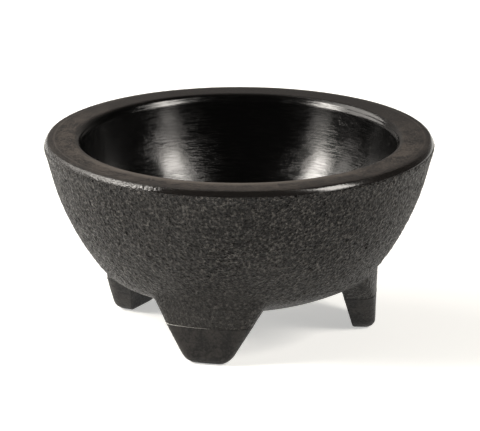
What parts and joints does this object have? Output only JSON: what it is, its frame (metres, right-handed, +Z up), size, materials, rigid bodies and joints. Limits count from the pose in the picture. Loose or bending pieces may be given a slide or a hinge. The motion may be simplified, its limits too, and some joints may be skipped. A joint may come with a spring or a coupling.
{
  "type": "molcajete",
  "caption": "Three-legged molcajete serving bowl: glossy black inner bowl with a broad flat rim in a rough stone-textured charcoal shell, on tapered feet.",
  "frame": {"origin": "on the bowl's axis, on the floor plane under the three feet", "axes": "+Z up along the bowl's axis; one leg points to -Y, the other two are mirrored about the YZ plane; +X to the right seen from the single leg"},
  "size_m": [0.127, 0.127, 0.064],
  "materials": {
    "bowl_gloss": "polished black inside, fine matt grain on the flat rim",
    "shell_stone": "moulded pebbled stone texture with pits and short ridges",
    "foot_matt": "matt, finer and smoother stone texture than the shell"
  },
  "bodies": {
    "root": {"inner_bowl": "bowl_gloss", "outer_shell": "shell_stone", "foot_front": "foot_matt", "foot_left": "foot_matt", "foot_right": "foot_matt"}
  },
  "joints": []
}
